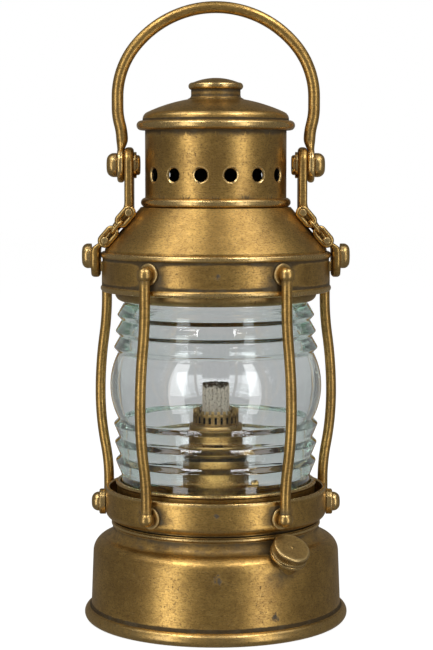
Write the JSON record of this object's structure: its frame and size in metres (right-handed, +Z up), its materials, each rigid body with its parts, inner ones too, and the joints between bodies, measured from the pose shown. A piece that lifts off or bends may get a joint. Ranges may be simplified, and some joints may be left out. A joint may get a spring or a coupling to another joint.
{
  "type": "oil lantern",
  "caption": "Free-standing brass oil lantern: round font with screw filler, wick burner, ribbed glass lens in a rod cage, vented conical hood and a swinging wire bail.",
  "frame": {"origin": "centre of the foot, on the surface that the lantern stands on", "axes": "+Z up along the lantern's axis, -Y to the front of the picture, +X to the right; the bail's pivots lie along X"},
  "size_m": [0.1336, 0.1328, 0.3087],
  "materials": {
    "aged_brass": "aged, burnished, brown patina in the recesses",
    "worn_brass": "worn bright on the edges",
    "dark_brass": "dark, dull patina",
    "lens_glass": "clear, pressed",
    "wick_cotton": "woven, charred at the top",
    "seal_rubber": "matte"
  },
  "bodies": {
    "base": {"font_body": "aged_brass", "font_bottom": "dark_brass", "filler_neck": "aged_brass", "burner_collar": "dark_brass", "burner_body": "aged_brass", "crown_collar": "aged_brass", "burner_crown": "dark_brass", "wick_tube": "dark_brass"},
    "cage": {"guard_ring": "aged_brass", "glass_gallery": "aged_brass", "gallery_washers": "aged_brass", "gallery_screws": "worn_brass", "lens": "lens_glass", "glass_collar": "dark_brass", "hood_band": "aged_brass", "hood_cone": "aged_brass", "vent_drum": "aged_brass", "dome_lid": "aged_brass", "finial": "worn_brass", "finial_nut": "dark_brass", "guard_rod_front_left": "aged_brass", "guard_rod_front_right": "aged_brass", "guard_rod_side_left": "aged_brass", "guard_rod_side_right": "aged_brass", "rod_washers": "worn_brass", "rod_studs": "dark_brass", "ear_left": "aged_brass", "ear_right": "aged_brass", "ear_screws": "worn_brass", "ear_nuts": "dark_brass", "chain_left": "worn_brass", "chain_right": "worn_brass", "chain_pins": "dark_brass", "pivot_rivets": "worn_brass", "pivot_washers": "aged_brass"},
    "bail": {"bail": "aged_brass"},
    "wick_drive": {"wick_spindle": "dark_brass", "wick_knob": "aged_brass"},
    "wick": {"wick": "wick_cotton"},
    "filler_seal": {"filler_gasket": "seal_rubber"},
    "filler_cap": {"filler_cap": "worn_brass"}
  },
  "joints": [
    {"name": "cage_lift", "type": "slide", "parent": "base", "child": "cage", "axis": [0, 0, 1], "range_m": [0, 0.08]},
    {"name": "bail_swing", "type": "hinge", "parent": "cage", "child": "bail", "pos_m": [0, 0, 0.2279], "axis": [1, 0, 0], "range_deg": [-100, 100]},
    {"name": "wick_turn", "type": "hinge", "parent": "base", "child": "wick_drive", "pos_m": [0, -0.0096, 0.071], "axis": [1, 0, 0], "range_deg": [-264.5, 132.3]},
    {"name": "wick_raise", "type": "slide", "parent": "base", "child": "wick", "axis": [0, 0, 1], "range_m": [-0.012, 0.006]},
    {"name": "filler_rise", "type": "slide", "parent": "base", "child": "filler_seal", "axis": [0.3371, -0.4815, 0.809], "range_m": [0, 0.00376]},
    {"name": "filler_turn", "type": "hinge", "parent": "filler_seal", "child": "filler_cap", "pos_m": [0.0341, -0.0487, 0.03975], "axis": [0.3371, -0.4815, 0.809], "range_deg": [0, 900]}
  ],
  "couplings": [
    {"joint": "wick_turn", "follows": "wick_raise", "rad_per_m": 384.62},
    {"joint": "filler_rise", "follows": "filler_turn", "m_per_rad": 0.00023873}
  ]
}
